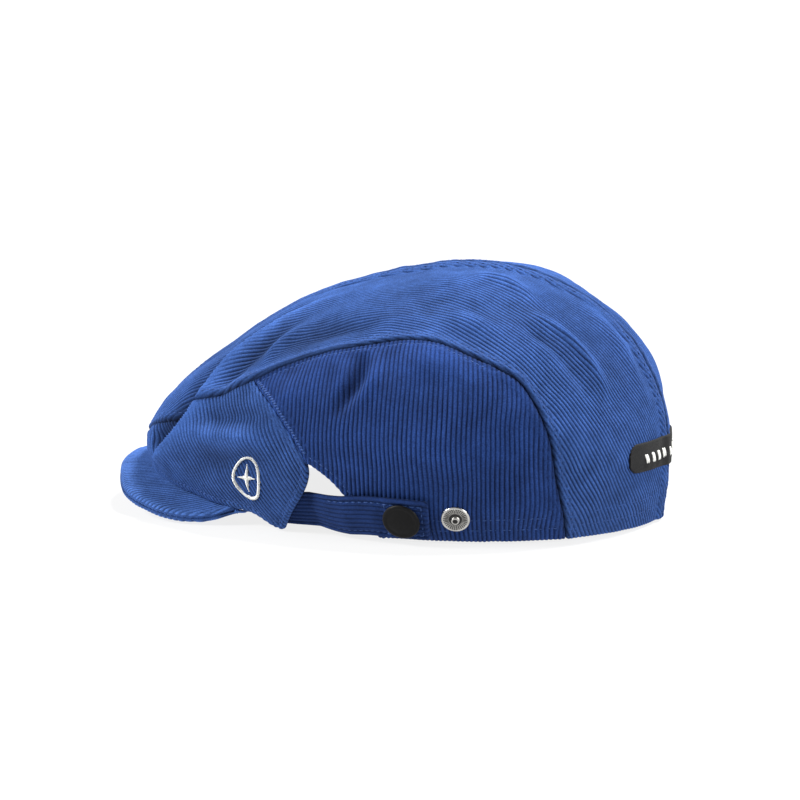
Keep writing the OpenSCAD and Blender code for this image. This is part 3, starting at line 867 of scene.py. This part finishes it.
def peak_cover(name, height, up, node):
    cut = Cut(peak_place(height, up), (-1, 1), (0, 1), ((-50, 58), (200, 58)), PITCH_PEAK, (65, 13))
    cut.soft = lambda p, n: .35 * noise(p, 30, 2) + .12 * noise(p, 9, 3)
    cut.tone = lambda p, n: 1.2 * noise(p, 24, 2)
    cut.pressed = lambda p, n: 0
    cut.flip = facing(cut)
    roll = 3.0 if up > 0 else PEAK_T - 3.0
    edges = ((.5, 0, ()), (PEAK_T / 2, 0, ()), (roll, .1, ()), (PEAK_T / 2, 0, ()))
    settle(cloth_solid(name, cut, edges, M_CORD_LIT, 1.2), "crown", "corduroy", node)


def peak():
    peak_cover("peak_top_cloth", PEAK_T, 1, "peak_top_cover")
    peak_cover("peak_bottom_cloth", 0, -1, "peak_bottom_cover")
    u, w = np.meshgrid(np.linspace(-.88, .88, 61), np.linspace(.06, .76, 9), indexing="ij")
    faces = [peak_place(h, 1)(u, w)[0] for h in (PEAK_T - 1.35, 1.35)]
    settle(sheet_solid("peak_board_sheet", *faces, M_BOARD), "crown", "board", "peak_board")


# ---- straps
STRAP_LOW, STRAP_HIGH, STRAP_T = .022, .122, 2.0
STRAP_RISE = [(131, -4.3), (118, -4.3), (114, -2.2), (108, .6), (98, 2.8), (90, 3.2), (82.5, 2.7)]
STRAP_END, STRAP_TAIL = 82.5, 131.0
FOLD_AT, FOLD_T = 95.5, .9           # where the folded end begins, and how much it adds
STRAP_WALES = 9
STRAP_DROP = .014                    # how far the strap sinks towards its sewn end
STRAP_HALF_W, MM_PER_DEG = 9.6, 1.63


def strap_rise(t):
    table = STRAP_RISE[::-1]
    return np.interp(t, [a for a, _ in table], [r for _, r in table])


def strap_sheet(t, q, side, h):
    """Point of the strap: q 0 to 1 up its width, h above its inner face."""
    v = lerp(STRAP_LOW, STRAP_HIGH, q) - STRAP_DROP * smooth((t - 97) / 16)
    n = outward(t, v)
    return mirrored(crown(t, v) + (strap_rise(t) + h)[..., None] * n, side), mirrored(n, side)


def strap(word, side):
    tip = STRAP_END + np.array([1.3, .9, .6, .35, .15, 0])
    ts = np.append(np.arange(STRAP_TAIL, STRAP_END + 1.6, -.7), tip)
    cols = (np.arange(STRAP_WALES)[:, None] + .5 + np.array(WALE_COLUMNS)).ravel()
    cols = np.append(cols, STRAP_WALES) / STRAP_WALES
    length = (ts - STRAP_END) * MM_PER_DEG
    end = rounding(length / 1.6)
    shrink = .86 + .14 * rounding(length / 3.0)
    fold = smooth((FOLD_AT - ts) / .8) * FOLD_T
    full = STRAP_T + fold
    T, Q = np.meshgrid(ts, cols, indexing="ij")
    w = wale_profile((Q * STRAP_WALES - .5), 1.0)
    edge = np.minimum(Q, 1 - Q) * 2 * STRAP_HALF_W
    roll = rounding(edge / 1.1)
    row = -.4 * np.exp(-((edge - 2.6) / .6) ** 2) - .4 * np.exp(-((length[:, None] - 3.0) / .6) ** 2)
    row = row - .5 * np.exp(-((T - FOLD_AT + .9) / .5) ** 2)
    spread = .5 + (Q - .5) * shrink[:, None]
    base, _ = strap_sheet(T, spread, side, 0 * T)
    soft = .3 * noise(base, 12, 2)
    eased = roll * end[:, None]
    outer_h = full[:, None] * (.5 + .5 * eased) + (WALE_H * (w - .6) + row + soft) * end[:, None]
    inner_h = full[:, None] * (.5 - .5 * eased) + soft
    outer, _ = strap_sheet(T, spread, side, outer_h)
    inner, _ = strap_sheet(T, spread, side, inner_h)
    ring = np.concatenate([outer, inner[:, ::-1]], 1)
    m, k = ring.shape[:2]
    i, j = np.meshgrid(np.arange(m - 1), np.arange(k), indexing="ij")
    a, b = i * k + j, i * k + (j + 1) % k
    faces = np.stack([a, b, b + k, a + k], -1).reshape(-1, 4)
    c = np.arange(k // 2 - 1)
    cap = np.stack([c, k - 1 - c, k - 2 - c, c + 1], -1)
    faces = faces.tolist() + cap.tolist() + (cap[:, ::-1] + (m - 1) * k).tolist()
    if side == LEFT:
        faces = [f[::-1] for f in faces]
    wale = np.concatenate([w, np.full_like(w, .3)], 1).ravel()
    # the lift of -2.8 darkens the whole strap as painted shade
    flat_tone = {"edge": 5.0, "lift": -2.8, "seam": FAR}
    ob = make_mesh(f"strap_{word}_cloth", ring.reshape(-1, 3), faces, M_CORD_SHADED,
                   {"wale": .4 + .55 * wale} | {key: np.full(len(wale), x) for key, x in flat_tone.items()})
    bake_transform(ob)
    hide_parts(f"strap_{word}", f"strap_tail_{word}")
    strap_stitches(word, side)


def strap_stitches(word, side):
    """Dashes round the folded end and along both edges."""
    width, inset = 2 * STRAP_HALF_W, 2.6
    lines = []
    for q in (inset / width, 1 - inset / width):
        t = np.arange(STRAP_END + 2.4, 112, STITCH_PITCH / MM_PER_DEG)
        lines.append((t, np.full_like(t, q), .4, 0))
    for t0 in (STRAP_END + 3.0 / MM_PER_DEG, FOLD_AT - .9):
        q = np.arange(.18, .84, STITCH_PITCH / width)
        lines.append((np.full_like(q, t0), q, 0, .02))
    rows = []
    for t, q, dt, dq in lines:
        h = STRAP_T + smooth((FOLD_AT - t) / .8) * FOLD_T - .28
        p, n = strap_sheet(t, q, side, h)
        rows.append((p, unit(strap_sheet(t + dt, q + dq, side, h)[0] - p), n))
    ob = thread(f"strap_{word}_topstitch", M_THREAD, *joined(rows))
    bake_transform(ob)


# ---- snaps
SNAP_AT, SPARE_AT, SNAP_UP, SEAT = 90.0, 75.5, .072, 3.2
CAP_R, STUD_R, STUD_RIBS, SOCKET_T = 9.0, 6.7, 32, 2.1


def lathe(profile_points, steps, ribs=None, shade_paint=None):
    """Surface of revolution; ribs(r, angle) lifts points, and the last function, of (r, angle), darkens them
    with painted shade.
    """
    pts, ring = [], []
    a = np.arange(steps) * 2 * np.pi / steps
    for r, z in profile_points:
        lift = ribs(r, a) if ribs else 0 * a
        pts.append(np.stack([r * np.cos(a), r * np.sin(a), z + lift], -1))
        ring.append(shade_paint(r, a) if shade_paint else 0 * a)
    first, j = (len(pts) - 1) * steps, np.arange(steps)
    row = np.arange(0, first, steps)[:, None]
    k = (j + 1) % steps
    faces = np.stack([row + j, row + k, row + steps + k, row + steps + j], -1).reshape(-1, 4).tolist()
    faces += [j[::-1].tolist(), (first + j).tolist()]
    return np.concatenate(pts), faces, np.concatenate(ring)


def stand(points, t, v, off, side):
    """Points in a frame that stands on the crown with +Z along its outward normal."""
    n = outward(np.array([t]), np.array([v]))[0]
    b, a = math.acos(n[2]), math.atan2(n[1], n[0])
    x = np.array([math.cos(b) * math.cos(a), math.cos(b) * math.sin(a), -math.sin(b)])
    y = np.array([-math.sin(a), math.cos(a), 0])
    p = crown(t, v) + off * n + points[:, :1] * x + points[:, 1:2] * y + points[:, 2:] * n
    return mirrored(p, side)


def turned(name, shape, t, v, off, side, material, body, slot, *nodes):
    pts, faces, ring = shape
    if side == LEFT:
        faces = [f[::-1] for f in faces]
    ob = make_mesh(name, stand(pts, t, v, off, side), faces, material, {"ring": ring})
    return settle(ob, body, slot, *nodes)


def rounded(points):
    """Profile with its corners eased."""
    p = np.array(points, float)
    for _ in range(2):
        a, b = p[:-1], p[1:]
        q = np.stack([.75 * a + .25 * b, .25 * a + .75 * b], 1).reshape(-1, 2)
        p = np.concatenate([p[:1], q, p[-1:]])
    return [tuple(x) for x in p]


CAP_SHAPE = rounded([(.3, .02), (CAP_R - .6, .02), (CAP_R, .25), (CAP_R, .75), (CAP_R - .5, 1.35),
                     (CAP_R - 1.6, 1.45), (CAP_R - 2.1, 1.3), (5, 1.62), (2.4, 1.82), (.3, 1.88)])
SOCKET_SHAPE = rounded([(.3, SOCKET_T - .45), (2.0, SOCKET_T - .45), (2.4, SOCKET_T - .6), (2.45, .1),
                        (2.8, -.02), (4.2, .06), (4.7, .5), (5.2, .75), (5.9, .8), (6.2, 1.0), (6.1, 1.25),
                        (4.6, 1.4), (4.5, SOCKET_T), (.3, SOCKET_T)])
STUD_SHAPE = rounded([(.3, .02), (STUD_R - .5, .02), (STUD_R, .25), (STUD_R, .5), (STUD_R - .35, .85),
                      (STUD_R - .9, .9), (STUD_R - 1.3, .55), (4.6, .5), (3.0, .62), (2.3, .9), (2.05, 1.15),
                      (1.7, 1.5), (1.75, 1.9), (1.85, 2.1), (1.6, 2.32), (1.1, 2.36), (.6, 2.2), (.2, 2.18)])


def ribbing(r, a):
    """Fine radial ribs between the stud's rim and its post."""
    band = math.exp(-((r - 4.2) / 1.1) ** 2)
    return .16 * band * np.cos(STUD_RIBS * a)


def stud_painted_shade(r, a):
    """Painted shade in the stud's hollows: its post's middle, the ring round that and the grooves between its
    ribs.
    """
    if r < 1.2 or 2.05 < r < 3.15:
        return np.full_like(a, .95)
    if 3.15 <= r < 5.7:
        return .6 - .38 * np.cos(STUD_RIBS * a)
    return 0 * a


def snaps(word, side):
    on_strap = SEAT + STRAP_T + FOLD_T + .02
    turned(f"snap_cap_{word}_disc", lathe(CAP_SHAPE, 96), SNAP_AT, SNAP_UP, on_strap, side,
           M_CAP, f"{word}_strap", "black_cap", f"snap_cap_{word}")
    turned(f"snap_socket_{word}_ring", lathe(SOCKET_SHAPE, 72), SNAP_AT, SNAP_UP, SEAT - SOCKET_T - .05, side,
           M_STEEL, f"{word}_strap", "steel", f"snap_socket_{word}")
    for label, at in (("worn", SNAP_AT), ("spare", SPARE_AT)):
        place = (mirrored(a(at, SNAP_UP)[None], side) for a in (crown, outward))
        seat = .15 + float(folds(*place)[0])
        shape = lathe(STUD_SHAPE, 256, ribbing, stud_painted_shade)
        piece = turned(f"stud_{word}_{label}", shape, at, SNAP_UP, seat, side, M_STEEL, "crown", "steel")
        if label == "worn":
            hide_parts(f"band_studs_{word}")


# ---- label and badge
LABEL_HALF, LABEL_UP, LABEL_HALF_V = 23.0, .229, .031


def over_seam(p):
    """How far the label and its bars ride up over the centre seam."""
    return CREST_EDGE[1] * bump(np.maximum(np.abs(p[..., 1]) - 2.4, 0), 3.2)


def back_label():
    a, b = np.meshgrid(np.linspace(-1, 1, 121), np.linspace(-1, 1, 41), indexing="ij")
    t = np.sin(a * math.pi / 2) * LABEL_HALF
    end = np.clip((np.abs(t) - LABEL_HALF + 4) / 4, 0, 1)
    v = LABEL_UP + LABEL_HALF_V * np.sqrt(np.maximum(.1, 1 - end ** 2)) * b
    rim = np.minimum(1 - np.abs(b), (1 - np.abs(a)) * 8)
    base, n = crown(t, v), outward(t, v)
    lift = 1.2 + over_seam(base) + .25 * noise(base, 9, 1) - .55 * (1 - np.clip(rim / .08, 0, 1)) ** 2
    soft = folds(base, n)
    outer = base + (soft + lift)[..., None] * n
    inner = base + (soft + .35)[..., None] * n
    settle(sheet_solid("back_label_tape", outer, inner, M_LABEL), "crown", "label", "back_label")
    label_motif()


def sheet_solid(name, outer, inner, material, closed=False):
    """Solid between two grids of points; closed joins its last row to its first."""
    m, n = outer.shape[:2]
    below = m * n
    index = np.arange(below).reshape(m, n)
    if closed:
        index = np.concatenate([index, index[:1]])
    top = np.stack([index[:-1, :-1], index[1:, :-1], index[1:, 1:], index[:-1, 1:]], -1).reshape(-1, 4)
    rims = [(index[:-1, 0], index[1:, 0]), (index[1:, -1], index[:-1, -1])]
    if not closed:
        rims += [(index[-1, :-1], index[-1, 1:]), (index[0, 1:], index[0, :-1])]
    r, s = (np.concatenate(ends) for ends in zip(*rims))
    quads = np.concatenate([top, top[:, ::-1] + below, np.stack([s, r, r + below, s + below], -1)])
    p = np.concatenate([outer.reshape(-1, 3), inner.reshape(-1, 3)])
    a, b, c, d = (p[top[:, k]] for k in range(4))
    if (np.cross(c - a, d - b) * (a - p[top[:, 0] + below])).sum() < 0:
        quads = quads[:, ::-1]
    return make_mesh(name, p, quads.tolist(), material)


def label_motif():
    """A row of plain slanted bars, each three threads wide."""
    t = (np.arange(-15, 15.1, 3.75)[:, None] + .5 * np.array([-1, 0, 1])).ravel()
    v = np.full_like(t, LABEL_UP)
    base, n = crown(t, v), outward(t, v)
    p = base + (folds(base, n) + 1.3 + over_seam(base))[:, None] * n
    along = unit(crown(t - .8, v + .0125) - base)
    settle(thread("back_label_stitches", M_WHITE, p, along, n, 5.4, .45), "crown", "label")


BADGE_AT, BADGE_UP, BADGE_W, BADGE_H = 133.0, .148, 17.0, 22.0


def badge_surface(ab):
    """Points on the left front panel for plane positions about the badge's middle."""
    t0, v0 = BADGE_AT, BADGE_UP
    p0, n0 = crown(t0, v0), outward(np.array([t0]), np.array([v0]))[0]
    dt, dv = crown(t0 + 1, v0) - p0, crown(t0, v0 + .01) - p0
    up = unit(np.array([0, 0, 1.0]) - n0 * n0[2])
    across = np.cross(up, n0)
    basis = np.stack([dt, dv, n0], -1)
    plane = ab[..., :1] * across + ab[..., 1:] * up
    step = np.linalg.solve(basis, plane[..., None] if plane.ndim == 1 else plane.reshape(-1, 3).T)
    t, v = t0 + step[0].reshape(ab.shape[:-1]), v0 + .01 * step[1].reshape(ab.shape[:-1])
    p, n = mirrored(crown(t, v), LEFT), mirrored(outward(t, v), LEFT)
    return p + folds(p, n)[..., None] * n, n


def satin(name, middle, width, threads, closed, height=.85):
    """A band of close satin stitches along a plane line, with a width at each point."""
    count = threads * 4
    u = np.linspace(0, 1, count, endpoint=not closed)
    c = middle(u)
    e = unit(np.gradient(c, axis=0)) if not closed else unit(np.roll(c, -1, 0) - np.roll(c, 1, 0))
    side = np.stack([-e[:, 1], e[:, 0]], -1)
    qs = np.linspace(-1, 1, 9)
    rib = .1 * np.cos(np.arange(count) * np.pi / 2)
    ab = c[:, None] + side[:, None] * (qs * .5)[None, :, None] * width(u)[:, None, None]
    p, n = badge_surface(ab)
    dome = np.sqrt(np.maximum(0, 1 - qs ** 2))[None]
    lift = .25 + (height * np.minimum(width(u)[:, None] / 1.4, 1) + rib[:, None]) * dome - .25 * (1 - dome)
    outer, inner = p + lift[..., None] * n, p - .2 * n
    return settle(sheet_solid(name, outer, inner, M_WHITE, closed), "crown", "badge")


def badge():
    def oval(u):
        a = 2 * np.pi * u
        return np.stack([(BADGE_W / 2 - .8) * np.cos(a), (BADGE_H / 2 - .8) * np.sin(a)], -1)

    ring = satin("front_badge_ring", oval, lambda u: 1.5 + 0 * u, 190, True)
    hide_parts("front_badge")
    for k, (dx, dy) in enumerate(((0, 1), (1, 0), (0, -1), (-1, 0))):
        reach = 7.0 if dx == 0 else 5.2
        satin(f"front_badge_ray_{k}", lambda u, x=dx, y=dy, r=reach: np.stack([x * r * u, y * r * u], -1),
              lambda u: .35 + 2.3 * (1 - u) ** 1.3, 24, False)


# ---- inside
def crown_lining():
    up = np.append(np.linspace(.2, .9, 60), [.93, .955, .975, .99, .9995])
    t, v = np.meshgrid(np.linspace(0, 360, 241), up, indexing="ij")
    base = inner(t, v, CLOTH_T + LAYER_GAP)
    n = outward(t, v)
    seams = sum(bump(((t - a + 180) % 360 - 180) * (1 - v) * 1.8, 1.6) for a in (0, 60, 120, 180, 240, 300))
    wrinkle = 1.2 + 1.0 * noise(base, 26, 2) + .5 * noise(base, 11, 3) - .9 * seams
    wrinkle = np.maximum(wrinkle, 0) * smooth((1 - v) / .04) * smooth((v - .2) / .03)
    faces = base[:-1], (base - (LINING_T + wrinkle)[..., None] * n)[:-1]
    settle(sheet_solid("crown_lining_cloth", *faces, M_LINING, True), "crown", "lining", "crown_lining")


def sweatband(name, t0, t1, node):
    ends = (.012 if t1 < 100 else .02, BAND_TOP + .012)
    t, q = np.meshgrid(np.linspace(t0, t1, int((t1 - t0) * 1.2)), np.linspace(0, 1, 15), indexing="ij")
    v = lerp(*ends, q)
    edge = np.minimum(q, 1 - q) * 38
    roll = 1 - rounding(edge / 1.4)
    depth = CLOTH_T + LAYER_GAP
    ripple = .25 * noise(crown(t, v), 14, 3) + .35 * bump(edge - 3, 1)
    outer = inner(t, v, depth + .55 * BAND_T * roll)
    inside = inner(t, v, depth + BAND_T - .45 * BAND_T * roll - ripple * (1 - roll))
    settle(sheet_solid(name, outer, inside, M_BAND), "crown", "sweatband", node)
    s, rows = np.arange(t0 + 1, t1 - 1, 2.0), []
    for q0 in (.08, .93):
        vv = np.full_like(s, lerp(*ends, q0))
        a, b = (inner(x, vv, depth + BAND_T - .05) for x in (s, s + .4))
        rows.append((a, unit(b - a), -outward(s, vv)))
    settle(thread(name + "_stitches", M_GREY, *joined(rows), 2.2, .22), "crown", "sweatband")


def notch_binding(word, side):
    """Dark tape turned over the side panel's free edge at the notch."""
    tv = path(NOTCH_EDGE, np.linspace(0, 1, 60))
    q = np.linspace(0, 1, 7)
    t, v = tv[:, :1] - 2.6 * q[None] + .35, np.repeat(tv[:, 1:], len(q), 1)
    faces = [mirrored(under(t, v, CLOTH_T + depth), side) for depth in (.05, .9)]
    settle(sheet_solid(f"notch_binding_{word}", *faces, M_BAND), "crown", "sweatband")


def hard_parts():
    """CAD parts that keep their own shape, with better materials."""
    for word, _ in SIDES:
        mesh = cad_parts["stud_backings_" + word].data
        mesh.materials.clear()
        mesh.materials.append(M_DARK_STEEL)


# ---- scene
AZIMUTH, ELEVATION, DISTANCE, LENS = 18.0, 9.2, 1.5, 137.0
TARGET = Vector((-.028, 0, .051))
FLOOR_HALF, FLOOR_Z = 30.0, -.0011       # the floor lies just under the stitches of the peak


def camera():
    a, e = math.radians(AZIMUTH), math.radians(ELEVATION)
    cam = bpy.data.objects.new("camera", bpy.data.cameras.new("camera"))
    bpy.context.collection.objects.link(cam)
    away = Vector((math.sin(a) * math.cos(e), -math.cos(a) * math.cos(e), math.sin(e)))
    cam.location = TARGET + DISTANCE * away
    cam.rotation_euler = (TARGET - cam.location).to_track_quat("-Z", "Y").to_euler()
    cam.data.lens, cam.data.sensor_width = LENS, 36.0
    bpy.context.scene.camera = cam


def area_light(name, place, size, power):
    light = bpy.data.lights.new(name, "AREA")
    light.shape, light.size, light.energy = "SQUARE", size, power
    ob = bpy.data.objects.new(name, light)
    ob.location = place
    ob.rotation_euler = (Vector((-.02, 0, .05)) - Vector(place)).to_track_quat("-Z", "Y").to_euler()
    bpy.context.collection.objects.link(ob)


def studio():
    world = bpy.data.worlds.new("studio")
    world.use_nodes = True
    tree = world.node_tree
    coords, split = tree.nodes.new("ShaderNodeTexCoord"), tree.nodes.new("ShaderNodeSeparateXYZ")
    tree.links.new(coords.outputs["Generated"], split.inputs[0])
    sky = ramp(tree, split.outputs["Z"], .02, .12, 1.0, .18)
    tree.links.new(sky, tree.nodes["Background"].inputs["Strength"])
    preset(tree.nodes["Background"], {"Color": (1, 1, 1, 1)})
    bpy.context.scene.world = world
    sun = bpy.data.lights.new("overhead", "SUN")
    sun.energy, sun.angle = 6.3, math.radians(14)
    lamp = bpy.data.objects.new("overhead", sun)
    lamp.rotation_euler = Vector((.26, .42, 1)).to_track_quat("Z", "Y").to_euler()
    bpy.context.collection.objects.link(lamp)
    area_light("front_softbox", (-1.2, -.65, .8), .5, 33)
    area_light("rear_softbox", (1.35, -.30, .6), .6, 16)
    me = bpy.data.meshes.new("floor")
    r = FLOOR_HALF
    me.from_pydata([(-r, -r, 0), (r, -r, 0), (r, r, 0), (-r, r, 0)], [], [(0, 1, 2, 3)])
    mat, _, shader = new_material("pale_floor")
    preset(shader, {"Base Color": (.10, .10, .10, 1), "Roughness": .9, "Emission Color": (1, 1, 1, 1),
                    "Emission Strength": .82})
    me.materials.append(mat)
    floor = bpy.data.objects.new("floor", me)
    floor.location.z = FLOOR_Z
    floor.visible_diffuse = False
    bpy.context.collection.objects.link(floor)
    bpy.context.scene.view_settings.view_transform = "Standard"


camera()
crown_panels()
peak()
for word, side in SIDES:
    strap(word, side)
    snaps(word, side)
    notch_binding(word, side)
back_label()
badge()
crown_lining()
sweatband("sweatband_front_tape", 134, 226, "sweatband_front")
sweatband("sweatband_rear_tape", -97, 97, "sweatband_rear")
hard_parts()
studio()
